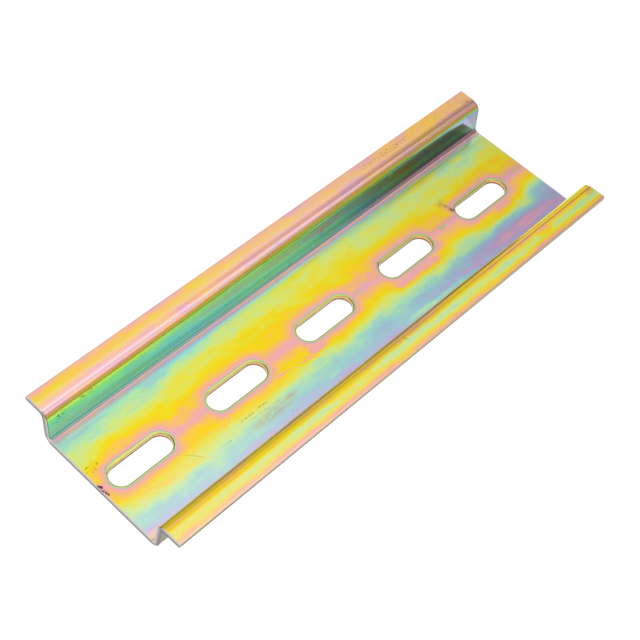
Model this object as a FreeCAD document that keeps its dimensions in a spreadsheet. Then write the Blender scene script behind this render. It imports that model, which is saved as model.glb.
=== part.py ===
import FreeCAD, Part
import math
import os
import Sketcher

# Slotted top-hat mounting rail, a short length of 35 mm wide section pressed from thin steel strip.
# Millimetres. X runs along the rail, Y across it and Z up out of the channel.
# The origin is on the underside of the web, midway along the rail and between its lips.

doc = FreeCAD.newDocument("din_rail")

# Driving dimensions

SIZES = {
    "rail_length": 105.0,      # between the two sheared ends
    "rail_width": 35.0,        # over the tips of both lips
    "rail_height": 7.5,        # underside of the web to the top of the lips
    "sheet": 1.0,              # thickness of the strip
    "channel_width": 24.4,     # between the walls, just above the bends at their feet
    "wall_splay": 5.0,         # degrees that each wall leans outwards
    "foot_bend": 0.9,          # inside radius where a wall meets the web
    "shoulder_bend": 1.0,      # inside radius where a wall meets its lip
    "slot_pitch": 21.0,        # between the middles of neighbouring slots
    "slot_length": 12.3,       # over the round ends
    "slot_width": 4.2,
    "first_slot": 8.3,         # from the low-X end to the middle of the first slot
    "end_land": 2.0,           # least steel between the last slot and the high-X end
    "slot_roll": 0.25,         # edge drawn in by the punch, on the channel side
    "edge_round": 0.3,         # slit edges of the strip, at the tips of the lips
}

sheet_cells = doc.addObject("Spreadsheet::Sheet", "Sizes")
for row, (alias, value) in enumerate(SIZES.items(), start=1):
    sheet_cells.set(f"A{row}", alias)
    sheet_cells.set(f"B{row}", str(value))
    sheet_cells.setAlias(f"B{row}", alias)
doc.recompute()


def size(alias):
    return float(sheet_cells.get(alias))


def vec(x, y):
    return FreeCAD.Vector(x, y, 0)


def origin_feature(body, role):
    return next(item for item in body.Origin.OriginFeatures if item.Role == role)


def new_sketch(body, name, plane_role):
    sketch = body.newObject("Sketcher::SketchObject", name)
    sketch.AttachmentSupport = [(origin_feature(body, plane_role), "")]
    sketch.MapMode = "FlatFace"
    return sketch


def constrain(sketch, name, expression, *terms):
    """Adds a named dimension and ties it to the spreadsheet."""
    index = sketch.addConstraint(Sketcher.Constraint(*terms))
    sketch.renameConstraint(index, name)
    sketch.setExpression(f"Constraints.{name}", expression)


# Sketcher's numbers for the points of an element and for a sketch's own axes
START, END, CENTRE = range(1, 4)
AXIS_H, AXIS_V = range(-1, -3, -1)
ORIGIN_POINT = (AXIS_H, START)

# Slots stand at a fixed pitch from the first one, as many as the cut length holds
SLOTS_THAT_FIT = (
    "floor((Sizes.rail_length - Sizes.first_slot - Sizes.slot_length / 2 - Sizes.end_land)"
    " / Sizes.slot_pitch) + 1"
)


def arc_of(centre, radius, first_degrees, last_degrees):
    circle = Part.Circle(vec(*centre), FreeCAD.Vector(0, 0, 1), radius)
    return Part.ArcOfCircle(circle, math.radians(first_degrees), math.radians(last_degrees))


def hat_outline(sketch):
    """Closed outline of the strip's section: web, two splayed walls and two lips, with concentric bends."""
    gauge = size("sheet")
    half_width = size("rail_width") / 2
    top = size("rail_height")
    splay = size("wall_splay")
    lean = math.radians(splay)
    foot = size("foot_bend")
    shoulder = size("shoulder_bend")

    foot_z = gauge + foot
    foot_y = size("channel_width") / 2 - foot * math.cos(lean)
    shoulder_z = top - gauge - shoulder
    rise = shoulder_z - foot_z
    shoulder_y = foot_y + (foot + gauge + shoulder + rise * math.sin(lean)) / math.cos(lean)

    def on_bend(centre_y, centre_z, radius, side, towards):
        """Point where a bend meets its wall: towards is 1 outwards of the bend's middle, -1 inwards."""
        return vec(
            side * (centre_y + towards * radius * math.cos(lean)),
            centre_z - towards * radius * math.sin(lean),
        )

    line = {}

    def add_line(name, first, last):
        line[name] = sketch.addGeometry(Part.LineSegment(first, last), False)

    add_line("web_under", vec(-foot_y, 0), vec(foot_y, 0))
    add_line("web_top", vec(-foot_y, gauge), vec(foot_y, gauge))

    bend = {}
    for hand, side in (("right", 1), ("left", -1)):
        add_line(
            f"wall_in_{hand}",
            on_bend(foot_y, foot_z, foot, side, 1),
            on_bend(shoulder_y, shoulder_z, shoulder + gauge, side, -1),
        )
        add_line(
            f"wall_out_{hand}",
            on_bend(foot_y, foot_z, foot + gauge, side, 1),
            on_bend(shoulder_y, shoulder_z, shoulder, side, -1),
        )
        add_line(f"lip_top_{hand}", vec(side * shoulder_y, top), vec(side * half_width, top))
        add_line(
            f"lip_under_{hand}",
            vec(side * shoulder_y, top - gauge),
            vec(side * half_width, top - gauge),
        )
        add_line(f"tip_{hand}", vec(side * half_width, top), vec(side * half_width, top - gauge))

        foot_arc = (270, 360 - splay) if side > 0 else (180 + splay, 270)
        shoulder_arc = (90, 180 - splay) if side > 0 else (splay, 90)
        for name, centre, radius, span in (
            ("foot_in", (side * foot_y, foot_z), foot, foot_arc),
            ("foot_out", (side * foot_y, foot_z), foot + gauge, foot_arc),
            ("shoulder_in", (side * shoulder_y, shoulder_z), shoulder, shoulder_arc),
            ("shoulder_out", (side * shoulder_y, shoulder_z), shoulder + gauge, shoulder_arc),
        ):
            arc = arc_of(centre, radius, *span)
            bend[f"{name}_{hand}"] = sketch.addGeometry(arc, False)

    def rule(*terms):
        sketch.addConstraint(Sketcher.Constraint(*terms))

    for hand in ("right", "left"):
        # An arc runs anticlockwise, so its web end or lip end is its start on one hand and its end on the other
        flat_end, wall_end = (START, END) if hand == "right" else (END, START)
        web_end = END if hand == "right" else START
        for face, web_line, wall_line in (
            ("foot_in", "web_top", "wall_in"),
            ("foot_out", "web_under", "wall_out"),
        ):
            arc = bend[f"{face}_{hand}"]
            rule("Tangent", line[web_line], web_end, arc, flat_end)
            rule("Tangent", arc, wall_end, line[f"{wall_line}_{hand}"], START)
        for face, lip_line, wall_line in (
            ("shoulder_out", "lip_top", "wall_in"),
            ("shoulder_in", "lip_under", "wall_out"),
        ):
            arc = bend[f"{face}_{hand}"]
            rule("Tangent", line[f"{lip_line}_{hand}"], START, arc, flat_end)
            rule("Tangent", arc, wall_end, line[f"{wall_line}_{hand}"], END)
        rule("Coincident", line[f"lip_top_{hand}"], END, line[f"tip_{hand}"], START)
        rule("Coincident", line[f"lip_under_{hand}"], END, line[f"tip_{hand}"], END)
        rule("Coincident", bend[f"foot_in_{hand}"], CENTRE, bend[f"foot_out_{hand}"], CENTRE)
        rule("Coincident", bend[f"shoulder_in_{hand}"], CENTRE, bend[f"shoulder_out_{hand}"], CENTRE)
        rule("Horizontal", line[f"lip_top_{hand}"])
        rule("Horizontal", line[f"lip_under_{hand}"])
        rule("Vertical", line[f"tip_{hand}"])

    rule("Symmetric", line["web_under"], START, line["web_under"], END, AXIS_V)
    rule("PointOnObject", line["web_under"], START, AXIS_H)
    rule("Horizontal", line["web_top"])
    rule("Symmetric", line["tip_left"], START, line["tip_right"], START, AXIS_V)
    rule("Equal", line["tip_left"], line["tip_right"])
    rule("Equal", bend["foot_in_left"], bend["foot_in_right"])
    rule("Equal", bend["shoulder_in_left"], bend["shoulder_in_right"])

    tip = line["tip_right"]
    foot_end = (line["wall_in_left"], START, line["wall_in_right"], START)
    constrain(sketch, "width", "Sizes.rail_width",
              "DistanceX", line["tip_left"], START, tip, START, 2 * half_width)
    constrain(sketch, "height", "Sizes.rail_height", "DistanceY", *ORIGIN_POINT, tip, START, top)
    constrain(sketch, "lip_gauge", "Sizes.sheet", "DistanceY", tip, END, tip, START, gauge)
    constrain(sketch, "web_gauge", "Sizes.sheet",
              "DistanceY", line["web_under"], END, line["web_top"], END, gauge)
    constrain(sketch, "channel", "Sizes.channel_width", "DistanceX", *foot_end, size("channel_width"))
    constrain(sketch, "foot_radius", "Sizes.foot_bend", "Radius", bend["foot_in_right"], foot)
    constrain(sketch, "shoulder_radius", "Sizes.shoulder_bend",
              "Radius", bend["shoulder_in_right"], shoulder)
    constrain(sketch, "splay_right", "90 - Sizes.wall_splay",
              "Angle", line["wall_in_right"], math.pi / 2 - lean)
    constrain(sketch, "splay_left", "90 + Sizes.wall_splay",
              "Angle", line["wall_in_left"], math.pi / 2 + lean)


def slot_outline(sketch):
    """Obround of the first slot, at the low-X end of the row."""
    radius = size("slot_width") / 2
    reach = size("slot_length") / 2 - radius
    first_x = size("first_slot") - size("rail_length") / 2

    near_arc = sketch.addGeometry(arc_of((first_x - reach, 0), radius, 90, 270), False)
    far_arc = sketch.addGeometry(arc_of((first_x + reach, 0), radius, -90, 90), False)
    low_side = sketch.addGeometry(
        Part.LineSegment(vec(first_x - reach, -radius), vec(first_x + reach, -radius)), False)
    high_side = sketch.addGeometry(
        Part.LineSegment(vec(first_x + reach, radius), vec(first_x - reach, radius)), False)

    for first, first_end, last, last_end in (
        (near_arc, END, low_side, START),
        (low_side, END, far_arc, START),
        (far_arc, END, high_side, START),
        (high_side, END, near_arc, START),
    ):
        sketch.addConstraint(Sketcher.Constraint("Tangent", first, first_end, last, last_end))
    sketch.addConstraint(Sketcher.Constraint("PointOnObject", near_arc, CENTRE, AXIS_H))
    sketch.addConstraint(Sketcher.Constraint("PointOnObject", far_arc, CENTRE, AXIS_H))
    sketch.addConstraint(Sketcher.Constraint("Equal", near_arc, far_arc))

    first_middle = "Sizes.first_slot - Sizes.rail_length / 2"
    half_run = "(Sizes.slot_length - Sizes.slot_width) / 2"
    constrain(sketch, "end_radius", "Sizes.slot_width / 2", "Radius", near_arc, radius)
    constrain(sketch, "between_ends", "Sizes.slot_length - Sizes.slot_width",
              "DistanceX", near_arc, CENTRE, far_arc, CENTRE, 2 * reach)
    constrain(sketch, "first_place", f"{first_middle} - {half_run}",
              "DistanceX", *ORIGIN_POINT, near_arc, CENTRE, first_x - reach)


def edges_where(shape, test):
    """Names of the edges whose middle point and direction pass the test."""
    names = []
    for number, edge in enumerate(shape.Edges, start=1):
        if test(edge):
            names.append(f"Edge{number}")
    return names


def middle(edge):
    return edge.valueAt((edge.FirstParameter + edge.LastParameter) / 2)


CLOSE = 1e-4


def is_lip_edge(edge):
    """Long edges of the slit strip, at the outermost tips of the lips."""
    point = middle(edge)
    along = edge.BoundBox.XLength > size("rail_length") / 2
    return along and abs(abs(point.y) - size("rail_width") / 2) < CLOSE


def is_slot_rim(edge):
    """Edges of the slots where they break the channel side of the web."""
    box = edge.BoundBox
    flat = box.ZLength < CLOSE and abs(middle(edge).z - size("sheet")) < CLOSE
    inside = box.YMax < size("slot_width") / 2 + CLOSE and box.YMin > -size("slot_width") / 2 - CLOSE
    between_ends = box.XMax < size("rail_length") / 2 - CLOSE and box.XMin > CLOSE - size("rail_length") / 2
    return flat and inside and between_ends


# Rail, one piece of strip

rail = doc.addObject("PartDesign::Body", "rail")
rail.Label = "rail"

section = new_sketch(rail, "section", "YZ_Plane")
hat_outline(section)
doc.recompute()

length_of_strip = rail.newObject("PartDesign::Pad", "formed_strip")
length_of_strip.Profile = section
length_of_strip.SideType = "Symmetric"
length_of_strip.setExpression("Length", "Sizes.rail_length")
doc.recompute()

lip_rounds = rail.newObject("PartDesign::Fillet", "slit_edges")
lip_rounds.Base = (length_of_strip, edges_where(length_of_strip.Shape, is_lip_edge))
lip_rounds.setExpression("Radius", "min(Sizes.edge_round; 0.4 * Sizes.sheet)")
doc.recompute()
solid_before_slots = lip_rounds.Shape.Volume

slot_sketch = new_sketch(rail, "slot", "XY_Plane")
slot_outline(slot_sketch)
doc.recompute()

first_slot = rail.newObject("PartDesign::Pocket", "pierced_slot")
first_slot.Profile = slot_sketch
first_slot.Type = "ThroughAll"
first_slot.SideType = "Symmetric"
doc.recompute()

slot_row = rail.newObject("PartDesign::LinearPattern", "slot_row")
slot_row.Originals = [first_slot]
slot_row.Direction = (slot_sketch, ["H_Axis"])
slot_row.setExpression("Occurrences", SLOTS_THAT_FIT)
slot_row.setExpression("Length", f"({SLOTS_THAT_FIT} - 1) * Sizes.slot_pitch")
rail.Tip = slot_row
doc.recompute()

slot_radius = size("slot_width") / 2
slot_area = math.pi * slot_radius ** 2 + (size("slot_length") - size("slot_width")) * size("slot_width")
expected_cut = slot_row.Occurrences * slot_area * size("sheet")
real_cut = solid_before_slots - slot_row.Shape.Volume
if abs(real_cut - expected_cut) > 0.01 * expected_cut:
    raise RuntimeError(f"slots removed {real_cut:.1f} mm3 instead of {expected_cut:.1f} mm3")

slot_rims = rail.newObject("PartDesign::Fillet", "punched_rims")
slot_rims.Base = (slot_row, edges_where(slot_row.Shape, is_slot_rim))
slot_rims.setExpression("Radius", "min(Sizes.slot_roll; 0.4 * Sizes.sheet)")
rail.Tip = slot_rims
doc.recompute()

# Check every object, then write the piece

for item in doc.Objects:
    if "Invalid" in item.State or "Error" in item.State:
        raise RuntimeError(f"{item.Name} did not recompute: {item.State}")

os.makedirs("parts", exist_ok=True)
for body in (rail,):
    if body.Shape.isNull() or not body.Shape.isValid() or len(body.Shape.Solids) != 1:
        raise RuntimeError(f"{body.Label} has no sound solid")
    body.Shape.exportStep(f"parts/{body.Label}.step")
    box = body.Shape.BoundBox
    print(f"{body.Label}: {box.XLength:.2f} x {box.YLength:.2f} x {box.ZLength:.2f} mm,"
          f" {body.Shape.Volume:.1f} mm3")
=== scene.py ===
"""Slotted top-hat mounting rail lying on a pale floor: zinc plated strip with a rainbow chromate film."""
import math

import bpy
from mathutils import Matrix, Vector

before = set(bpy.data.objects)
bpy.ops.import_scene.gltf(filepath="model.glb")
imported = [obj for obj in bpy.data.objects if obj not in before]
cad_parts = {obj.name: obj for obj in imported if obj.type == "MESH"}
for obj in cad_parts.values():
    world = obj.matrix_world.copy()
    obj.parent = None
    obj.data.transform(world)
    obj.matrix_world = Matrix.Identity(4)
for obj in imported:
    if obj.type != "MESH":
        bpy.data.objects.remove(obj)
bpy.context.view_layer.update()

MM = 0.001

# Sizes of the rail that the film follows, in millimetres
RAIL_LENGTH = 105.0
RAIL_WIDTH = 35.0
RAIL_HEIGHT = 7.5
SHEET = 1.0
SLOT_PITCH = 21.0
SLOT_LENGTH = 12.3
SLOT_WIDTH = 4.2
FIRST_SLOT_MIDDLE = -44.2
WALL_FOOT = 12.2
WALL_SPLAY = math.radians(5.0)

# Film colours in screen values, in the order in which a thicker film shows them
FILM_COLOURS = (
    (-0.50, (222, 226, 120)),
    (-0.40, (190, 222, 130)),
    (-0.30, (158, 196, 176)),
    (-0.20, (160, 178, 198)),
    (-0.10, (210, 172, 200)),
    (0.00, (246, 176, 172)),
    (0.07, (244, 178, 150)),
    (0.14, (250, 196, 96)),
    (0.22, (249, 212, 30)),
    (0.31, (240, 222, 38)),
    (0.39, (228, 228, 88)),
    (0.47, (208, 232, 136)),
    (0.55, (180, 228, 176)),
    (0.63, (160, 214, 202)),
    (0.71, (158, 198, 212)),
    (0.80, (172, 186, 216)),
    (0.89, (196, 168, 210)),
    (1.00, (230, 172, 192)),
    (1.08, (244, 184, 156)),
    (1.18, (248, 198, 98)),
    (1.27, (242, 214, 54)),
    (1.37, (208, 234, 104)),
    (1.47, (166, 240, 158)),
    (1.57, (148, 242, 206)),
    (1.67, (136, 230, 240)),
    (1.78, (158, 196, 240)),
    (1.89, (192, 176, 216)),
    (2.00, (222, 166, 186)),
)
THINNEST_FILM = -0.5
THICKEST_FILM = 2.0

# Film by the distance from a slot's rim in millimetres
RING_FILM = (
    (0.0, -0.48),
    (0.40, -0.42),
    (0.50, -0.24),
    (0.57, -0.04),
    (0.65, 0.0),
    (0.85, 0.01),
    (1.1, 0.07),
    (1.4, 0.11),
    (2.0, 0.14),
    (3.0, 0.22),
    (4.5, 0.27),
    (7.0, 0.27),
)
RING_REACH = 7.0
PLAIN_FILM = 0.27

# Film along the section, by the distance from the middle line measured round the bends:
# place, then the film at the near end, in the middle and at the far end
FAR_SIDE = (
    (3.0, 0.27, 0.27, 0.27),
    (5.0, 0.32, 0.29, 0.33),
    (6.5, 0.40, 0.35, 0.42),
    (8.0, 0.48, 0.38, 0.48),
    (9.0, 0.54, 0.42, 0.50),
    (9.8, 0.59, 0.44, 0.49),
    (10.3, 0.70, 0.38, 0.48),
    (10.7, 0.84, 0.48, 0.53),
    (10.8, 0.90, 0.56, 0.54),
    (10.95, 0.95, 0.92, 0.58),
    (11.05, 0.98, 1.02, 1.04),
    (11.75, 1.04, 1.05, 1.03),
    (11.76, 2.00, 2.00, 2.00),
    (11.95, 1.99, 1.98, 1.99),
    (12.05, 1.60, 1.62, 2.00),
    (12.7, 1.57, 1.57, 2.00),
    (13.3, 1.58, 1.57, 1.54),
    (13.8, 1.55, 1.55, 1.52),
    (14.4, 1.51, 1.54, 1.48),
    (15.1, 1.51, 1.66, 1.88),
    (15.8, 1.51, 1.74, 1.88),
    (17.1, 1.44, 1.70, 1.86),
    (17.5, 1.46, 1.68, 1.82),
    (17.9, 1.40, 1.54, 1.76),
    (18.3, 1.26, 1.38, 1.43),
    (18.7, 1.14, 1.24, 1.26),
    (19.3, 1.06, 1.10, 1.12),
    (20.0, 1.04, 1.02, 1.08),
    (21.0, 1.09, 1.05, 1.08),
    (21.5, 1.22, 1.08, 1.12),
    (22.3, 1.26, 1.18, 1.16),
    (24.0, 1.06, 1.06, 1.13),
)
NEAR_SIDE = (
    (3.0, 0.27, 0.27, 0.27),
    (4.2, 0.35, 0.36, 0.40),
    (5.4, 0.41, 0.47, 0.50),
    (6.6, 0.50, 0.56, 0.60),
    (8.0, 0.61, 0.65, 0.82),
    (9.2, 0.64, 0.70, 0.90),
    (10.4, 0.76, 0.80, 0.88),
    (11.3, 0.92, 0.90, 0.90),
    (12.2, 1.16, 1.10, 1.06),
    (13.2, 0.50, 0.50, 0.50),
    (15.0, 0.34, 0.36, 0.40),
    (17.4, -0.06, 0.0, 0.40),
    (18.7, -0.06, 0.0, 0.40),
    (19.3, 0.12, 0.13, 0.28),
    (20.05, 0.20, 0.20, 0.20),
    (20.3, 0.24, 0.23, 0.20),
    (20.6, 0.19, 0.18, 0.16),
    (20.9, 0.16, 0.15, 0.13),
    (21.2, 0.22, 0.36, 0.23),
    (21.6, 0.35, 0.46, 0.41),
    (22.0, 0.40, 0.49, 0.49),
    (22.5, 0.36, 0.40, 0.48),
    (23.0, 0.23, 0.23, 0.31),
    (23.4, 0.11, 0.11, 0.14),
    (24.0, 0.06, 0.05, 0.05),
)
SECTION_REACH = 24.0

# Painted highlight above zero and painted shade below, in the same rows: a little is paler or duller film,
# most is the reflections and shade on the bends, along the wall's foot and on the far wall
FAR_PAINTED_LIGHT_AND_SHADE = (
    (9.0, 0.0, 0.0, -0.1),
    (9.8, 0.0, 0.0, -0.2),
    (10.3, 0.2, 0.1, -0.1),
    (10.6, 0.3, 0.35, 0.0),
    (11.0, 0.2, 0.2, 0.0),
    (11.5, 0.05, 0.0, -0.2),
    (11.75, 0.0, -0.2, -0.25),
    (11.8, -0.6, -0.5, -0.25),
    (12.3, -0.4, -0.45, -0.3),
    (12.5, -0.25, -0.25, -0.6),
    (12.8, 0.05, 0.0, -0.75),
    (13.3, 0.0, 0.0, -0.85),
    (14.4, 0.0, 0.0, -0.65),
    (15.1, 0.0, 0.05, -0.5),
    (16.5, 0.15, 0.1, -0.5),
    (17.1, 0.2, 0.05, -0.4),
    (17.6, 0.05, 0.05, -0.3),
    (17.9, 0.05, 0.0, -0.55),
    (18.3, 0.1, 0.05, -0.35),
    (18.9, 0.0, -0.45, -0.25),
    (19.2, 0.0, -0.4, -0.2),
    (19.6, 0.2, 0.4, 0.2),
    (19.8, 0.35, 0.35, 0.1),
    (20.05, 0.4, 0.25, -0.1),
    (20.4, -0.05, -0.25, -0.65),
    (21.0, 0.15, -0.15, -0.35),
    (21.5, 0.15, 0.2, 0.0),
    (22.3, 0.0, 0.1, 0.0),
    (24.0, 0.0, 0.0, 0.0),
)
NEAR_PAINTED_LIGHT_AND_SHADE = (
    (3.0, 0.0, 0.0, 0.0),
    (6.0, 0.15, 0.0, -0.1),
    (8.0, 0.2, 0.0, -0.2),
    (11.0, 0.3, 0.1, -0.15),
    (12.4, 0.0, 0.0, 0.0),
    (17.7, 0.0, 0.0, 0.0),
    (18.1, 0.6, 0.5, 0.2),
    (18.7, 0.5, 0.4, 0.1),
    (19.3, 0.0, 0.0, 0.0),
    (20.0, -0.35, -0.4, -0.2),
    (20.3, -0.4, -0.45, -0.25),
    (20.7, -0.1, -0.15, 0.0),
    (21.2, -0.1, -0.1, 0.05),
    (21.6, 0.15, 0.1, 0.0),
    (24.0, 0.2, 0.05, 0.0),
)

# Soft ovals where the film is thicker or thinner, in unrolled places:
# middle x, middle place, half x, half place, change
FILM_PATCHES = (
    (-50.6, 5.6, 3.6, 2.6, 0.07),
    (-41.0, 7.2, 5.0, 1.8, -0.06),
    (-13.0, 7.0, 4.0, 1.6, -0.08),
    (2.0, 10.0, 5.0, 1.2, -0.08),
    (33.0, 10.0, 6.0, 1.2, -0.14),
    (17.0, 6.2, 4.0, 2.2, 0.09),
    (33.0, 4.8, 6.0, 1.6, 0.10),
    (49.5, 4.6, 2.5, 1.2, -0.14),
    (-9.0, -4.0, 4.0, 1.2, -0.22),
    (18.0, -4.2, 8.0, 1.4, -0.20),
    (41.5, -4.8, 3.6, 1.8, -0.22),
    (-28.0, -10.2, 5.0, 0.8, 0.10),
    (-51.8, -11.4, 3.6, 2.0, 0.20),
    (-8.0, -10.2, 4.0, 0.8, 0.12),
    (-47.0, 2.55, 2.8, 0.35, -0.35),
    (-47.0, 10.0, 6.0, 0.6, 0.05),
    (-41.5, -6.0, 5.5, 1.3, -0.12),
    (18.0, -10.6, 14.0, 1.2, -0.22),
    (41.0, -9.0, 9.0, 1.4, 0.10),
    (51.5, -5.0, 5.0, 3.0, 0.18),
    (10.6, 1.4, 1.0, 0.8, -0.1),
    (10.0, 16.2, 6.0, 1.4, 0.09),
    (9.3, 14.8, 0.9, 1.8, 0.14),
    (27.4, 17.1, 0.9, 0.9, -0.45),
    (-14.0, -21.8, 6.0, 0.7, -0.16),
    (3.0, -21.6, 4.0, 0.6, 0.08),
    (15.0, -21.9, 3.0, 0.6, -0.10),
    (37.5, -21.7, 2.4, 0.8, -0.18),
    (-20.0, 15.4, 14.0, 4.0, 0.09),
    (21.0, 14.0, 7.0, 1.4, 0.10),
)

# Marks in unrolled places, in millimetres: x and distance round the section from the middle line,
# negative at the near side. Strokes run from one place to another with a half width and a strength.
DARK_STROKES = (
    (-52.4, 0.7, -52.1, 0.2, 0.4, 1.0),
    (-52.3, -0.2, -52.1, -0.7, 0.34, 1.0),
    (-52.2, -1.0, -52.1, -1.4, 0.26, 0.9),
    (-50.3, 17.0, -49.9, 15.9, 0.2, 0.6),
    (-49.5, 17.1, -49.3, 16.3, 0.16, 0.6),
    (-50.7, 15.6, -50.4, 15.0, 0.14, 0.5),
    (-45.8, 17.5, -44.7, 17.0, 0.16, 0.6),
    (-44.3, 17.4, -43.6, 16.9, 0.16, 0.5),
    (-38.6, -4.0, -36.6, -6.2, 0.06, 0.5),
    (33.3, 1.8, 34.0, 1.3, 0.5, 0.85),
    (33.5, 2.3, 33.1, 3.5, 0.5, 0.3),
    (33.3, 4.3, 32.5, 4.0, 0.5, 0.22),
    (-27.6, -5.5, -24.8, -5.6, 0.1, 0.7),
    (-23.6, -5.4, -21.8, -5.5, 0.1, 0.6),
    (-26.0, -6.4, -22.8, -6.3, 0.07, 0.5),
    (-32.6, -6.9, -31.2, -7.0, 0.08, 0.5),
    (0.7, -20.6, 0.9, -21.5, 0.1, 0.8),
    (12.7, 0.9, 13.7, 2.2, 0.3, 0.8),
    (-20.0, -9.8, -19.6, -9.3, 0.07, 0.4),
    (-50.4, 0.8, -49.4, 2.5, 0.06, 0.6),
    (-49.4, 2.5, -43.0, 2.75, 0.05, 0.4),
)
FINE_THREADS = (
    (-51.0, -5.6, -47.0, -4.9, 0.16),
    (-47.0, -4.9, -43.6, -5.9, 0.16),
    (-43.6, -5.9, -40.0, -5.4, 0.16),
    (-40.0, -5.4, -36.6, -4.6, 0.16),
    (-16.8, -3.3, -13.0, -3.7, 0.15),
    (-13.0, -3.7, -9.4, -4.5, 0.15),
    (-9.4, -4.5, -7.6, -5.6, 0.14),
    (-33.0, -3.7, -29.6, -4.4, 0.14),
    (-29.6, -4.4, -28.4, -3.6, 0.12),
    (-48.6, -9.0, -40.0, -4.8, 0.05),
)

# Ovals: middle x, middle place, half x, half place, strength
SPECKLED_PLACES = (
    (-50.8, 3.9, 2.2, 1.1, 0.6),
    (-21.5, -7.9, 4.2, 0.8, 0.25),
    (-49.8, 16.6, 1.3, 1.8, 0.8),
    (-44.2, 17.3, 2.4, 0.6, 0.8),
    (29.0, 22.5, 9.5, 0.7, 0.8),
    (43.8, 22.5, 1.6, 0.5, 0.8),
    (51.0, 21.4, 0.8, 0.7, 0.7),
    (51.4, -21.2, 1.0, 0.9, 0.6),
    (29.0, -2.9, 1.6, 0.35, 0.4),
    (8.4, -3.0, 2.2, 0.35, 0.3),
)
SMUDGES = (
    (-22.6, -7.8, 6.2, 1.2, 0.7),
    (-18.0, -7.2, 1.8, 0.6, 0.9),
    (-21.4, -6.6, 3.4, 0.4, 0.5),
    (33.0, 4.2, 1.5, 1.0, 0.6),
    (33.2, 2.9, 0.7, 1.2, 0.5),
    (28.5, 22.5, 9.0, 0.7, 0.3),
    (50.9, 21.4, 1.2, 1.0, 0.5),
    (51.2, -21.3, 1.3, 0.9, 0.8),
)
LIME_SPOTS = (
    (28.9, 0.1, 1.2, 0.55, 0.7),
    (50.6, 0.3, 1.2, 0.55, 0.5),
    (6.2, 0.0, 1.0, 0.7, 0.35),
)

# Other colours, in screen values
# White mixed in as painted highlight, dark grey mixed in as painted shade
PAINTED_HIGHLIGHT_WHITE = (250, 250, 250)
PAINTED_SHADE_GREY = (60, 62, 60)
# Lavender grey of the painted reflection on the far wall's far corner
PAINTED_REFLECTION_TINT = (176, 176, 196)
LIME_FILM = (168, 198, 112)
RUBBED_FILM = (196, 162, 122)
MARK = (58, 50, 40)
BACK_OF_WEB = (160, 152, 108)
# Dark grey green painted shade for the walls' outer faces
PAINTED_SHADE_WALL_BACKS = (84, 96, 88)
# Dark olive and brown painted shade along the near side of each slot's rim
PAINTED_RIM_SHADE_NEAR_END = (104, 100, 52)
PAINTED_RIM_SHADE_FAR_END = (136, 96, 60)
RIM_VEIL = (186, 174, 104)
SMOOTH_BAND = (196, 172, 108)
# Lighter copy of the smooth band: painted light
SMOOTH_BAND_PAINTED_LIGHT = (228, 188, 126)
BROKEN_BAND = (96, 72, 42)
# Lighter copy of the broken band: painted light
BROKEN_BAND_PAINTED_LIGHT = (158, 104, 68)
NEAR_SLIT = (214, 204, 158)
# Darker copy of the burnished slit edge on the far lip: painted shade
FAR_SLIT_PAINTED_SHADE = (152, 130, 106)
LOWER_SLIT = (100, 88, 64)
WORN_FLAT = (206, 204, 200)
WORN_WALL = (96, 96, 76)
# Bare steel of the sawn ends, from the upper side of the sheet down: steel grey with a painted highlight at
# the top and painted shade below
UPPER_STEEL = (214, 206, 206)
MIDDLE_STEEL = (168, 158, 158)
LOWER_STEEL = (128, 120, 118)

# Soft changes: where each starts and ends, then the values there if they aren't zero and one.
# Along the rail, x in millimetres
NEAR_END_TO_MIDDLE = (-42.0, 0.0)
MIDDLE_TO_FAR_END = (0.0, 42.0)
DEEPER_ALONG_WALL = (-50.0, -34.0, 0.1, 0.5)
# Painted reflection on the far wall's far corner, then painted shade past it
PAINTED_REFLECTION_CORNER = (51.2, 53.4)
PAST_PAINTED_REFLECTION_CORNER = (52.4, 53.4, 0.0, -0.3)
RIM_LINE_ALONG = (-24.0, 6.0)
RIM_VEIL_ALONG = (-40.0, 34.0, 0.2, 1.0)
# Slot walls painted lighter towards the near end
PAINTED_LIGHT_SLOTS_ALONG = (30.0, 10.0)
CHALKY_LOW_ALONG = (24.0, -6.0)
CHALKY_HIGH_NEAR_END = (-44.0, -28.0)
CHALKY_HIGH_FAR_END = (30.0, 6.0)
BURRED_FILM = (RAIL_LENGTH / 2 - 0.3, RAIL_LENGTH / 2 - 0.12)
END_FACE = (RAIL_LENGTH / 2 - 0.06, RAIL_LENGTH / 2 - 0.01)

# Across the rail, y in millimetres
NEAR_TO_FAR = (-0.5, 0.5)
FAR_HALF = (0.0, 1.0)
FULLER_TOWARDS_NEAR = (0.4, -1.4, 0.0, 0.2)
RIM_LINE_ACROSS = (1.2, -0.6)
SLOT_ROUND_ENDS = (2.08, 1.7)
SLIT_EDGE = (RAIL_WIDTH / 2 - 0.12, RAIL_WIDTH / 2 - 0.04)

# Heights in millimetres
BELOW_SLOT_RIM = (0.97, 0.9)
BROKEN_BELOW = (0.28, 0.16)
BELOW_LIPS = (6.5, 6.4)
SLIT_BREAK = (RAIL_HEIGHT - 0.22, RAIL_HEIGHT - 0.4)

# Distance from a slot's rim in millimetres
FRAYED_RING = (0.35, 1.0)
WANDER_PAST_RING = (1.2, 3.0, 0.1, 1.0)
RIM_LINE_WIDTH = (0.14, 0.3, 0.95, 0.0)
RIM_VEIL_WIDTH = (0.52, 0.4, 0.0, 0.6)
INSIDE_SLOT = (0.12, 0.05)

# Depth in the sheet in millimetres
UPPER_TO_MIDDLE_STEEL = (0.1, 0.35)
MIDDLE_TO_LOWER_STEEL = (0.45, 0.8)

# Parts of the surface's normal
FACING_DOWN = (-0.2, -0.6, 0.0, 0.55)
# Share of painted shade on the walls' outer faces, by the normal
FACING_OUTWARD = (0.2, 0.5, 0.0, 0.93)

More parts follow.
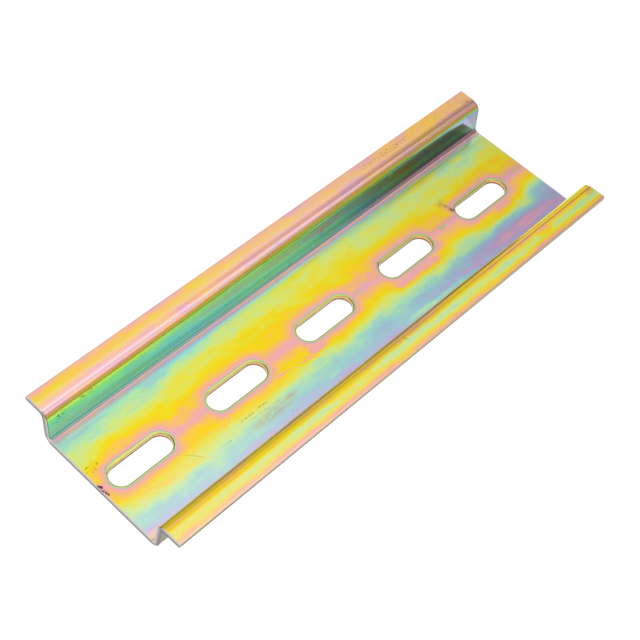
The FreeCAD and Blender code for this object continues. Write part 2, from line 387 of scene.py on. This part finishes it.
# Noise
STROKE_GAPS = (-0.12, 0.02)
SPECKS = (0.06, 0.16)
RUBBED_STREAKS = (-0.15, 0.15, 0.1, 0.85)

# Distance from the middle of an oval, in half sizes
OVAL_EDGE = (0.05, 1.1)

# Place along the section
CALM_AT_BENDS = (8.5, 10.8, 1.0, 0.12)

# Bands along the section: where each starts to rise, is full, starts to fall and ends
ON_WALL = (11.0, 12.5, 17.4, 18.6)
LOW_ON_WALL = (12.8, 13.3, 14.2, 15.0)
# Band of the far wall with the painted reflection
PAINTED_REFLECTION_WALL = (12.6, 13.4, 17.4, 18.6)
WORN_WALL_END = (12.3, 13.0, 19.6, 20.4)
CHALKY_FOOT = (10.5, 11.0, 11.65, 11.95)
CHALKY_LOW_WALL = (12.4, 12.9, 14.2, 15.5)
CHALKY_HIGH_WALL = (13.0, 14.5, 16.8, 17.8)
CHALKY_SHOULDER = (19.1, 19.5, 19.95, 20.15)

# Share of scattered light in the chalky bands
FOOT_SCATTER = 0.75
LOW_WALL_SCATTER = 0.65
HIGH_WALL_SCATTER = 0.28
SHOULDER_SCATTER = 0.5

# Slant of the painted reflection on the far wall's far corner and of the painted shade past it, in
# millimetres of x for one of height
PAINTED_REFLECTION_SLANT = 1.26
PAST_PAINTED_REFLECTION_SLANT = 0.63
# Share of lavender grey in the painted reflection
PAINTED_REFLECTION_SHARE = 0.6

# Strength of each irregularity: film that it adds, or how far it moves an edge in millimetres
GRAIN_FILM = 0.008
BLOTCH_FILM = 0.5
STREAK_FILM = 0.08
THREAD_FILM = -0.13
CALMER_WALL = -0.6
SWAY_REACH = 2.2
RING_FRAY = 1.5
MIDDLE_LINE_SWAY = 1.2
MIDDLE_LINE_OFFSET = 0.35
RING_SHARPNESS = 0.6
CLEAN_RING = 0.61
PATCH_RAGGED = 1.5
SMUDGE_RAGGED = 1.4
THREAD_SWAY = 1.6
THREAD_BREADTH = 1.6
STROKE_SWAY = 0.5
STROKE_CORE = 0.4
BURR_SHARE = 0.6
TORN_HEIGHT = 0.45
TORN_REACH = 0.4
STEEL_MOTTLE = 0.5

# Gloss
PLATED_ROUGHNESS = 0.17
STREAK_ROUGHNESS = 0.08
CUT_ROUGHNESS = 0.25
SLIT_ROUGHNESS = 0.2
MARK_ROUGHNESS = 0.3
BUMP_STRENGTH = 0.12
BUMP_DEPTH = 0.02

# Camera of the photograph: angles in degrees, lengths in millimetres
CAMERA_AZIMUTH = -55.14
CAMERA_ELEVATION = 52.641
CAMERA_ROLL = -11.33
CAMERA_DISTANCE = 248.2
CAMERA_ASIDE = 2.714
CAMERA_DOWN = -3.14
CAMERA_LENS = 82.0
CAMERA_CLIP_START = 10.0
TARGET_HEIGHT = 3.75

# Floor, in metres, and the room's light by the height of the direction
FLOOR_HALF = 3.0
FLOOR_LEVEL = -0.05 * MM
FLOOR_LIGHT = 1.02
ROOM_FADE = (0.3, 0.64, 0.62, 0.25)

# Rectangular lights: name, middle and size in metres, radiance, turn in degrees
LIGHTS = (
    ("softbox", (-0.04, -0.1, 1.2), (2.3, 2.6), 0.8, (0.0, 0.0, -14.9)),
    ("back_panel", (1.4, 1.9, 1.35), (1.6, 1.5), 0.62, (-90.0, 0.0, 0.0)),
    ("front_panel", (-0.1, -1.2, 0.95), (2.1, 0.8), 0.72, (90.0, 0.0, 0.0)),
)
# Strength over the softbox, by shares of its sides
SOFTBOX_ALONG = (0.0, 1.0, 1.4, 0.75)
SOFTBOX_MIDDLE = (0.28, 0.45, 1.0, 1.5)
SOFTBOX_OVERHEAD = (0.5, 0.62, 0.62, 1.0)


def linear(screen):
    """Screen colour, 0 to 255, as linear light with alpha."""
    share = [c / 255 for c in screen]
    light = [c / 12.92 if c <= 0.04045 else ((c + 0.055) / 1.055) ** 2.4 for c in share]
    return (*light, 1.0)


class Nodes:
    """Shader nodes of a material, world or light. Values are sockets or plain numbers.

    Each node is made after the nodes that feed it, none clamps, and noise reads its coordinates through
    Mapping. A clamp or a change of socket type would be a hidden node that Cycles runs late, and so many
    values would then wait that its shader memory overflows and the rail renders black.
    """

    def __init__(self, owner):
        owner.use_nodes = True
        self.tree = owner.node_tree

    def add(self, kind):
        return self.tree.nodes.new("ShaderNode" + kind)

    def feed(self, socket, value):
        if isinstance(value, bpy.types.NodeSocket):
            self.tree.links.new(value, socket)
        else:
            socket.default_value = value

    def math(self, operation, *values):
        node = self.add("Math")
        node.operation = operation
        for socket, value in zip(node.inputs, values):
            self.feed(socket, value)
        return node.outputs[0]

    def sum(self, *values):
        total = values[0]
        for value in values[1:]:
            total = self.math("ADD", total, value)
        return total

    def times(self, *values):
        total = values[0]
        for value in values[1:]:
            total = self.math("MULTIPLY", total, value)
        return total

    def highest(self, values):
        """Greatest of zero and values that are made one by one."""
        total = 0.0
        for value in values:
            total = self.math("MAXIMUM", value, total)
        return total

    def step(self, value, start, end, low=0.0, high=1.0, kind="SMOOTHSTEP"):
        """Change from low at start to high at end, smooth unless another kind is named."""
        node = self.add("MapRange")
        node.interpolation_type = kind
        node.clamp = False
        for socket, number in zip(node.inputs, (value, start, end, low, high)):
            self.feed(socket, number)
        return node.outputs[0]

    def band(self, value, rise, full, fall, end):
        """One from full to fall, zero before rise and after end."""
        return self.times(self.step(value, rise, full), self.step(value, end, fall))

    def ramp(self, value, stops, start, end):
        """Colour ramp through (place, colour) stops between two ends of the value."""
        share = self.math("DIVIDE", self.math("SUBTRACT", value, start), end - start)
        node = self.add("ValToRGB")
        elements = node.color_ramp.elements
        node.color_ramp.interpolation = "LINEAR"
        for number, (place, colour) in enumerate(stops):
            position = (place - start) / (end - start)
            stop = elements[number] if number < 2 else elements.new(position)
            stop.position = position
            stop.color = colour
        self.feed(node.inputs[0], share)
        return node.outputs[0]

    def curves(self, value, rows, reach, low=0.0, high=THICKEST_FILM):
        """Straight-run curves from rows of a place and one value or three, one curve for each value."""
        levels = []
        for place, *row in rows:
            shares = [(level - low) / (high - low) for level in row]
            levels.append((place, (shares * 3)[:3] + [1.0]))
        colour = self.ramp(value, levels, 0.0, reach)
        node = self.add("SeparateColor")
        self.feed(node.inputs[0], colour)
        channels = node.outputs[: len(rows[0]) - 1]
        return [self.sum(self.times(channel, high - low), low) for channel in channels]

    def point(self, x, y, z):
        node = self.add("CombineXYZ")
        for socket, value in zip(node.inputs, (x, y, z)):
            self.feed(socket, value)
        return node.outputs[0]

    def split(self, vector):
        node = self.add("SeparateXYZ")
        self.feed(node.inputs[0], vector)
        return list(node.outputs)

    def vector(self, operation, *values, scale=None):
        node = self.add("VectorMath")
        node.operation = operation
        for socket, value in zip(node.inputs, values):
            self.feed(socket, value)
        if scale is not None:
            self.feed(node.inputs["Scale"], scale)
        return node.outputs["Value" if operation in ("DOT_PRODUCT", "DISTANCE") else "Vector"]

    def noise(self, x, y, z, detail=2.0, roughness=0.5):
        """Noise about zero, from -0.5 to 0.5, with coordinates scaled by the caller."""
        spot = self.point(x, y, z)
        mapping = self.add("Mapping")
        mapping.inputs["Vector"].default_value = (1.0, 1.0, 1.0)
        self.feed(mapping.inputs["Scale"], spot)
        node = self.add("TexNoise")
        node.inputs["Scale"].default_value = 1.0
        node.inputs["Detail"].default_value = detail
        node.inputs["Roughness"].default_value = roughness
        self.feed(node.inputs["Vector"], mapping.outputs[0])
        return self.math("SUBTRACT", node.outputs[0], 0.5)

    def mix(self, share, first, second):
        """Mixed colour. Colours are sockets or screen values."""
        node = self.add("Mix")
        node.data_type = "RGBA"
        self.feed(node.inputs[0], share)
        for socket, colour in zip(node.inputs[6:8], (first, second)):
            self.feed(socket, linear(colour) if isinstance(colour, tuple) else colour)
        return node.outputs[2]


def bare_material(name):
    """New material and its nodes, of which there are none yet."""
    material = bpy.data.materials.new(name)
    nodes = Nodes(material)
    nodes.tree.nodes.clear()
    return material, nodes


def place_in_millimetres(nodes):
    return nodes.split(nodes.vector("SCALE", nodes.add("TexCoord").outputs["Object"], scale=1 / MM))


def surface_normal(nodes):
    return nodes.split(nodes.add("NewGeometry").outputs["Normal"])


def section_place(nodes, y, z):
    """Distance from the middle line of the rail, measured round the bends."""
    return nodes.sum(nodes.math("ABSOLUTE", y), nodes.math("MAXIMUM", nodes.sum(z, -SHEET), 0.0))


def unrolled(nodes, y, place):
    """Section place, negative at the near side."""
    return nodes.times(place, nodes.math("SIGN", y))


def rim_distance(nodes, x, y):
    """Distance in the plane of the web from the nearest slot's rim."""
    along = nodes.math("WRAP", nodes.math("SUBTRACT", x, FIRST_SLOT_MIDDLE), SLOT_PITCH / 2, -SLOT_PITCH / 2)
    beyond = nodes.math("SUBTRACT", nodes.math("ABSOLUTE", along), (SLOT_LENGTH - SLOT_WIDTH) / 2)
    beyond = nodes.math("MAXIMUM", beyond, 0.0)
    reach = nodes.math("SQRT", nodes.sum(nodes.times(beyond, beyond), nodes.times(y, y)))
    return nodes.math("SUBTRACT", reach, SLOT_WIDTH / 2)


def sheet_depth(nodes, y, z):
    """Depth below the sheet's upper side, which is the channel's side in the walls."""
    web = nodes.math("SUBTRACT", SHEET, z)
    lean = nodes.times(nodes.sum(z, -SHEET), math.tan(WALL_SPLAY))
    wall = nodes.math("SUBTRACT", nodes.sum(nodes.math("ABSOLUTE", y), -WALL_FOOT), lean)
    lip = nodes.math("SUBTRACT", RAIL_HEIGHT, z)
    return nodes.math("MINIMUM", nodes.math("MAXIMUM", web, wall), lip)


def patch(nodes, x, v, oval, ragged=0.0):
    """Soft oval change in unrolled places, with a ragged edge where noise is given."""
    middle_x, middle_v, half_x, half_v, change = oval
    across = nodes.math("DIVIDE", nodes.math("SUBTRACT", x, middle_x), half_x)
    up = nodes.math("DIVIDE", nodes.math("SUBTRACT", v, middle_v), half_v)
    away = nodes.sum(nodes.times(across, across), nodes.times(up, up), ragged)
    return nodes.step(away, *OVAL_EDGE, change, 0.0)


def stroke(nodes, spot, ends, half_width):
    """One on the straight line between two unrolled places, zero beyond its half width."""
    start_x, start_v, end_x, end_v = ends
    way = Vector((end_x - start_x, end_v - start_v, 0.0))
    ahead = nodes.vector("SUBTRACT", spot, (start_x, start_v, 0.0))
    share = nodes.vector("DOT_PRODUCT", ahead, tuple(way / way.length_squared))
    share = nodes.math("MINIMUM", nodes.math("MAXIMUM", share, 0.0), 1.0)
    nearest = nodes.vector("SCALE", tuple(way), scale=share)
    away = nodes.vector("DISTANCE", ahead, nearest)
    return nodes.step(away, half_width * STROKE_CORE, half_width, 1.0, 0.0)


def threads(nodes, x, v):
    """Thin wavy lines where the film is a little thinner."""
    wave = nodes.noise(nodes.times(x, 0.8), nodes.times(v, 0.8), 7.0, detail=3.0)
    spot = nodes.point(x, nodes.sum(v, nodes.times(wave, THREAD_SWAY)), 0.0)
    return nodes.highest(
        stroke(nodes, spot, ends, half_width * THREAD_BREADTH)
        for *ends, half_width in FINE_THREADS
    )


def marks(nodes, x, v):
    """Dark scratches, chips and specks, as a share from zero to one."""
    fine = nodes.noise(nodes.times(x, 2.2), nodes.times(v, 2.6), 11.0, detail=3.0, roughness=0.6)
    spot = nodes.point(x, nodes.sum(v, nodes.times(fine, STROKE_SWAY)), 0.0)
    gaps = nodes.step(fine, *STROKE_GAPS)
    lines = nodes.highest(
        nodes.times(stroke(nodes, spot, ends, half_width), gaps, strength)
        for *ends, half_width, strength in DARK_STROKES
    )
    specks = nodes.step(fine, *SPECKS)
    speckled = nodes.highest(nodes.times(specks, patch(nodes, x, v, oval)) for oval in SPECKLED_PLACES)
    return nodes.math("MAXIMUM", lines, speckled)


def smudges(nodes, x, v):
    """Soft brown rubbed places with streaks along the rail, as a share from zero to one."""
    streaks = nodes.noise(nodes.times(x, 0.5), nodes.times(v, 2.4), 17.0, detail=4.0, roughness=0.7)
    ragged = nodes.times(streaks, SMUDGE_RAGGED)
    rubbed = nodes.highest(patch(nodes, x, v, oval, ragged) for oval in SMUDGES)
    return nodes.times(rubbed, nodes.step(streaks, *RUBBED_STREAKS))


def lime_spots(nodes, x, v):
    """Small soft spots in the bridges between the slots, as a share from zero to one."""
    return nodes.highest(patch(nodes, x, v, oval) for oval in LIME_SPOTS)


def between(nodes, first, last, share):
    return nodes.sum(first, nodes.times(nodes.math("SUBTRACT", last, first), share))


def along_rail(nodes, x, y, place, near_rows, far_rows, low=0.0, high=THICKEST_FILM):
    """Value away from the slots: three profiles at each side, blended along the rail."""
    to_middle = nodes.step(x, *NEAR_END_TO_MIDDLE)
    to_far_end = nodes.step(x, *MIDDLE_TO_FAR_END)
    sides = []
    for rows in (near_rows, far_rows):
        first, middle, last = nodes.curves(place, rows, SECTION_REACH, low, high)
        blend = between(nodes, first, middle, to_middle)
        sides.append(between(nodes, blend, last, to_far_end))
    return between(nodes, *sides, nodes.step(y, *NEAR_TO_FAR))


def ring_film(nodes, x, y, blotch, from_rim):
    """Film about the slots, and the place that it goes by: the distance from a rim, frayed and swayed."""
    fray = nodes.noise(nodes.times(x, 0.42), nodes.times(y, 0.6), 3.0, detail=4.0, roughness=0.6)
    middle_line = nodes.math("ABSOLUTE", nodes.sum(y, nodes.times(blotch, MIDDLE_LINE_SWAY)))
    from_line = nodes.sum(middle_line, MIDDLE_LINE_OFFSET)
    reach = nodes.math("SMOOTH_MIN", from_rim, from_line, RING_SHARPNESS)
    frayed = nodes.step(from_rim, *FRAYED_RING)
    reach = nodes.sum(reach, nodes.times(nodes.sum(blotch, fray), RING_FRAY, frayed))
    reach = nodes.math("MAXIMUM", reach, nodes.math("MINIMUM", from_rim, CLEAN_RING))
    reach = nodes.math("MAXIMUM", reach, nodes.step(y, *FULLER_TOWARDS_NEAR))
    return reach, nodes.curves(reach, RING_FILM, RING_REACH, low=THINNEST_FILM)[0]


def film_thickness(nodes, x, y, z, place, v, from_rim):
    """Film on all faces: the rings about the slots, the section's profile, patches and streaks."""
    grain = nodes.noise(nodes.times(x, 0.9), nodes.times(y, 1.8), z, detail=2.0, roughness=0.6)
    blotch = nodes.noise(nodes.times(x, 0.16), nodes.times(y, 0.34), z, detail=5.0, roughness=0.58)
    sway = nodes.noise(nodes.times(x, 0.09), nodes.times(y, 0.2), z, detail=3.0)
    streak = nodes.noise(nodes.times(x, 0.12), nodes.times(y, 2.6), z, detail=4.0, roughness=0.65)
    past_rim, ring = ring_film(nodes, x, y, blotch, from_rim)
    sway = nodes.times(nodes.times(sway, SWAY_REACH), nodes.step(place, *CALM_AT_BENDS))
    side = along_rail(nodes, x, y, nodes.sum(place, sway), NEAR_SIDE, FAR_SIDE)
    calmer = nodes.sum(1.0, nodes.times(nodes.band(place, *ON_WALL), CALMER_WALL))
    away = nodes.times(nodes.step(past_rim, *WANDER_PAST_RING), calmer)
    wander = nodes.sum(nodes.times(blotch, BLOTCH_FILM), nodes.times(streak, STREAK_FILM))
    film = nodes.sum(ring, side, nodes.times(wander, away), -PLAIN_FILM, nodes.times(grain, GRAIN_FILM))
    film = nodes.sum(film, nodes.times(threads(nodes, x, v), THREAD_FILM))
    ragged = nodes.times(blotch, PATCH_RAGGED)
    for oval in FILM_PATCHES:
        film = nodes.sum(film, patch(nodes, x, v, oval, ragged))
    return film


def film_colour(nodes, x, y, z, place, film):
    """Colour of the film, deeper low on the far wall, with painted highlights, painted shade and a painted
    reflection on the far wall's far corner.
    """
    stops = [(film_there, linear(screen)) for film_there, screen in FILM_COLOURS]
    colour = nodes.ramp(film, stops, THINNEST_FILM, THICKEST_FILM)
    depth = nodes.times(nodes.step(y, *FAR_HALF), nodes.step(x, *DEEPER_ALONG_WALL))
    exponent = nodes.sum(1.0, nodes.times(nodes.band(place, *LOW_ON_WALL), depth))
    deep = nodes.add("Gamma")
    nodes.feed(deep.inputs["Color"], colour)
    nodes.feed(deep.inputs["Gamma"], exponent)
    # Painted highlight and painted shade along the section
    painted_light_and_shade = along_rail(nodes, x, y, place, NEAR_PAINTED_LIGHT_AND_SHADE, FAR_PAINTED_LIGHT_AND_SHADE, -1.0, 1.0)
    # Painted reflection of the pale floor beyond the rail's end on the far wall's far corner, painted shade
    # past it
    corner = nodes.sum(x, nodes.times(z, nodes.step(y, *FAR_HALF), PAINTED_REFLECTION_SLANT))
    painted_reflection = nodes.times(nodes.band(place, *PAINTED_REFLECTION_WALL), nodes.step(corner, *PAINTED_REFLECTION_CORNER))
    past_corner = nodes.step(nodes.sum(x, nodes.times(z, PAST_PAINTED_REFLECTION_SLANT)), *PAST_PAINTED_REFLECTION_CORNER)
    painted_light_and_shade = between(nodes, painted_light_and_shade, past_corner, painted_reflection)
    colour = nodes.mix(nodes.times(painted_reflection, PAINTED_REFLECTION_SHARE), deep.outputs[0], PAINTED_REFLECTION_TINT)
    colour = nodes.mix(nodes.math("MAXIMUM", painted_light_and_shade, 0.0), colour, PAINTED_HIGHLIGHT_WHITE)
    return nodes.mix(nodes.math("MAXIMUM", nodes.times(painted_light_and_shade, -1.0), 0.0), colour, PAINTED_SHADE_GREY)


def back_side(nodes, normal, y, z, colour):
    """Muted olive film under the web and the lips; the backs of the walls get a dull dark grey green that is
    painted shade.
    """
    colour = nodes.mix(nodes.step(normal[2], *FACING_DOWN), colour, BACK_OF_WEB)
    outward = nodes.times(normal[1], nodes.math("SIGN", y), nodes.step(z, *BELOW_LIPS))
    # Painted shade on the walls' outer faces
    return nodes.mix(nodes.step(outward, *FACING_OUTWARD), colour, PAINTED_SHADE_WALL_BACKS)


def slot_walls(nodes, x, y, z, from_rim, colour):
    """Punched walls: a dark line of painted shade along the near side of each rim, a tan smooth band, a dull
    brown broken band below, both bands lighter at the round ends and towards the near end as painted light.
    """
    # Painted shade along the near side of each rim
    rim = nodes.times(nodes.step(from_rim, *RIM_LINE_WIDTH), nodes.step(y, *RIM_LINE_ACROSS))
    line = nodes.mix(nodes.step(x, *RIM_LINE_ALONG), PAINTED_RIM_SHADE_NEAR_END, PAINTED_RIM_SHADE_FAR_END)
    colour = nodes.mix(rim, colour, line)
    veil = nodes.times(nodes.step(from_rim, *RIM_VEIL_WIDTH), nodes.step(x, *RIM_VEIL_ALONG))
    colour = nodes.mix(veil, colour, RIM_VEIL)
    inside = nodes.times(nodes.step(from_rim, *INSIDE_SLOT), nodes.step(z, *BELOW_SLOT_RIM))
    torn = nodes.noise(nodes.times(x, 2.0), nodes.times(y, 2.0), 0.0, detail=3.0)
    torn = nodes.times(nodes.sum(TORN_HEIGHT, torn), TORN_REACH)
    broken = nodes.step(nodes.math("SUBTRACT", z, torn), *BROKEN_BELOW)
    rounded = nodes.step(y, *SLOT_ROUND_ENDS)
    # Painted light on the slot walls: at the round ends and towards the near end
    painted_lit_walls = nodes.math("MAXIMUM", rounded, nodes.step(x, *PAINTED_LIGHT_SLOTS_ALONG))
    smooth = nodes.mix(painted_lit_walls, SMOOTH_BAND, SMOOTH_BAND_PAINTED_LIGHT)
    rough = nodes.mix(rounded, BROKEN_BAND, BROKEN_BAND_PAINTED_LIGHT)
    return nodes.mix(inside, colour, nodes.mix(broken, smooth, rough))


def slit_edges(nodes, y, z, colour):
    """Slit long edges of the lips: a pale burnished line above, darker on the far lip as painted shade, dark
    broken metal below.
    """
    edge = nodes.step(nodes.math("ABSOLUTE", y), *SLIT_EDGE)
    above = nodes.mix(nodes.step(y, *FAR_HALF), NEAR_SLIT, FAR_SLIT_PAINTED_SHADE)
    metal = nodes.mix(nodes.step(z, *SLIT_BREAK), above, LOWER_SLIT)
    return edge, nodes.mix(edge, colour, metal)


def cut_ends(nodes, x, y, z, place, marked, colour):
    """Sawn faces without film, pale at the sheet's upper side and darker further down, the bare steel's grey
    with a painted highlight at the top and painted shade below, and the burred film beside them.
    """
    reach = nodes.math("ABSOLUTE", x)
    burr = nodes.step(reach, *BURRED_FILM)
    worn = nodes.mix(nodes.band(place, *WORN_WALL_END), WORN_FLAT, WORN_WALL)
    clean = nodes.math("SUBTRACT", 1.0, marked)
    colour = nodes.mix(nodes.times(burr, clean, BURR_SHARE), colour, worn)
    cut = nodes.step(reach, *END_FACE)
    mottle = nodes.noise(
        nodes.times(x, 0.5), nodes.times(y, 2.4), nodes.times(z, 2.4), detail=4.0, roughness=0.7
    )
    depth = nodes.sum(sheet_depth(nodes, y, z), nodes.times(mottle, STEEL_MOTTLE))
    # Painted highlight at the sheet's upper side, painted shade deeper down
    steel = nodes.mix(nodes.step(depth, *UPPER_TO_MIDDLE_STEEL), UPPER_STEEL, MIDDLE_STEEL)
    steel = nodes.mix(nodes.step(depth, *MIDDLE_TO_LOWER_STEEL), steel, LOWER_STEEL)
    return cut, nodes.mix(cut, colour, steel)


def chalky_places(nodes, x, y, place):
    """Share of scattered light: a pale band beside the far wall's foot, the wall and its shoulder."""
    foot = nodes.times(nodes.band(place, *CHALKY_FOOT), FOOT_SCATTER)
    low_wall = nodes.times(nodes.band(place, *CHALKY_LOW_WALL), LOW_WALL_SCATTER)
    low_wall = nodes.times(low_wall, nodes.step(x, *CHALKY_LOW_ALONG))
    high_wall = nodes.times(nodes.band(place, *CHALKY_HIGH_WALL), HIGH_WALL_SCATTER)
    high_wall = nodes.times(high_wall, nodes.step(x, *CHALKY_HIGH_NEAR_END))
    high_wall = nodes.times(high_wall, nodes.step(x, *CHALKY_HIGH_FAR_END))
    shoulder = nodes.times(nodes.band(place, *CHALKY_SHOULDER), SHOULDER_SCATTER)
    chalky = nodes.highest((foot, low_wall, high_wall, shoulder))
    return nodes.times(chalky, nodes.step(y, *FAR_HALF))


def yellow_chromate(name):
    material, nodes = bare_material(name)
    x, y, z = place_in_millimetres(nodes)
    normal = surface_normal(nodes)
    place = section_place(nodes, y, z)
    v = unrolled(nodes, y, place)
    from_rim = rim_distance(nodes, x, y)
    film = film_thickness(nodes, x, y, z, place, v, from_rim)
    colour = film_colour(nodes, x, y, z, place, film)
    marked = marks(nodes, x, v)
    colour = nodes.mix(lime_spots(nodes, x, v), colour, LIME_FILM)
    colour = nodes.mix(smudges(nodes, x, v), colour, RUBBED_FILM)
    colour = nodes.mix(marked, colour, MARK)
    colour = back_side(nodes, normal, y, z, colour)
    colour = slot_walls(nodes, x, y, z, from_rim, colour)
    edge, colour = slit_edges(nodes, y, z, colour)
    cut, colour = cut_ends(nodes, x, y, z, place, marked, colour)

    streaks = nodes.noise(nodes.times(x, 0.3), nodes.times(y, 5.0), nodes.times(z, 5.0), detail=3.0)
    worn = nodes.sum(nodes.times(cut, CUT_ROUGHNESS), nodes.times(edge, SLIT_ROUGHNESS))
    worn = nodes.sum(worn, nodes.times(marked, MARK_ROUGHNESS))
    shader = nodes.add("BsdfPrincipled")
    nodes.feed(shader.inputs["Metallic"], nodes.math("SUBTRACT", 1.0, chalky_places(nodes, x, y, place)))
    nodes.feed(shader.inputs["Base Color"], colour)
    rough = nodes.sum(PLATED_ROUGHNESS, nodes.times(streaks, STREAK_ROUGHNESS), worn)
    nodes.feed(shader.inputs["Roughness"], rough)
    bump = nodes.add("Bump")
    bump.inputs["Strength"].default_value = BUMP_STRENGTH
    bump.inputs["Distance"].default_value = BUMP_DEPTH * MM
    nodes.feed(bump.inputs["Height"], streaks)
    nodes.feed(shader.inputs["Normal"], bump.outputs[0])
    nodes.feed(nodes.add("OutputMaterial").inputs["Surface"], shader.outputs[0])
    return material


def dress_rail():
    plated = yellow_chromate("rail_yellow_chromate")
    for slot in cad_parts["rail"].material_slots:
        slot.material = plated


def pale_floor():
    mesh = bpy.data.meshes.new("floor")
    half = FLOOR_HALF
    corners = [(x, y, FLOOR_LEVEL) for x, y in ((-half, -half), (half, -half), (half, half), (-half, half))]
    mesh.from_pydata(corners, [], [(0, 1, 2, 3)])
    floor = bpy.data.objects.new("floor", mesh)
    bpy.context.scene.collection.objects.link(floor)
    paper, nodes = bare_material("floor_paper")
    shader = nodes.add("Emission")
    shader.inputs["Color"].default_value = (1.0, 1.0, 1.0, 1.0)
    shader.inputs["Strength"].default_value = FLOOR_LIGHT
    nodes.feed(nodes.add("OutputMaterial").inputs["Surface"], shader.outputs[0])
    mesh.materials.append(paper)


def area_light(name, middle, size, radiance, turn):
    """Rectangular light as bright as a surface of that radiance, facing down before its turn."""
    data = bpy.data.lights.new(name, "AREA")
    data.shape = "RECTANGLE"
    data.size, data.size_y = size
    data.energy = radiance * math.pi * size[0] * size[1]
    light = bpy.data.objects.new(name, data)
    light.location = middle
    light.rotation_euler = [math.radians(angle) for angle in turn]
    light.visible_camera = False
    bpy.context.scene.collection.objects.link(light)
    return light


def grade_softbox(light):
    """Falls off along its length, brighter along its middle and dimmer right overhead."""
    nodes = Nodes(light.data)
    along, across, _ = nodes.split(nodes.add("NewGeometry").outputs["Parametric"])
    from_side = nodes.math("PINGPONG", across, 0.5)
    strength = nodes.times(
        nodes.step(along, *SOFTBOX_ALONG, kind="LINEAR"),
        nodes.step(from_side, *SOFTBOX_MIDDLE),
        nodes.step(along, *SOFTBOX_OVERHEAD),
    )
    nodes.feed(nodes.tree.nodes["Emission"].inputs["Strength"], strength)


def studio_world():
    """Grey room, lighter towards the horizon."""
    world = bpy.data.worlds.new("studio")
    nodes = Nodes(world)
    height = nodes.split(nodes.add("TexCoord").outputs["Generated"])[2]
    background = nodes.tree.nodes["Background"]
    background.inputs["Color"].default_value = (1.0, 1.0, 1.0, 1.0)
    nodes.feed(background.inputs["Strength"], nodes.step(height, *ROOM_FADE))
    bpy.context.scene.world = world


def studio_light():
    lights = [area_light(*row) for row in LIGHTS]
    grade_softbox(lights[0])
    studio_world()


def photograph_camera():
    azimuth = math.radians(CAMERA_AZIMUTH)
    elevation = math.radians(CAMERA_ELEVATION)
    roll = math.radians(CAMERA_ROLL)
    flat = math.cos(elevation)
    back = Vector((math.sin(azimuth) * flat, -math.cos(azimuth) * flat, math.sin(elevation)))
    level = back.cross(Vector((0.0, 0.0, -1.0))).normalized()
    fall = level.cross(back)
    right = level * math.cos(roll) + fall * math.sin(roll)
    down = fall * math.cos(roll) - level * math.sin(roll)
    stand = Vector((0.0, 0.0, TARGET_HEIGHT)) + back * CAMERA_DISTANCE
    stand -= right * CAMERA_ASIDE + down * CAMERA_DOWN
    camera = bpy.data.objects.new("camera", bpy.data.cameras.new("camera"))
    camera.data.lens = CAMERA_LENS
    camera.data.clip_start = CAMERA_CLIP_START * MM
    turned = Matrix((right, -down, back)).transposed().to_4x4()
    camera.matrix_world = Matrix.Translation(stand * MM) @ turned
    bpy.context.scene.collection.objects.link(camera)
    bpy.context.scene.camera = camera


def plain_picture():
    view = bpy.context.scene.view_settings
    view.view_transform = "Standard"
    view.look = "None"


dress_rail()
pale_floor()
studio_light()
photograph_camera()
plain_picture()
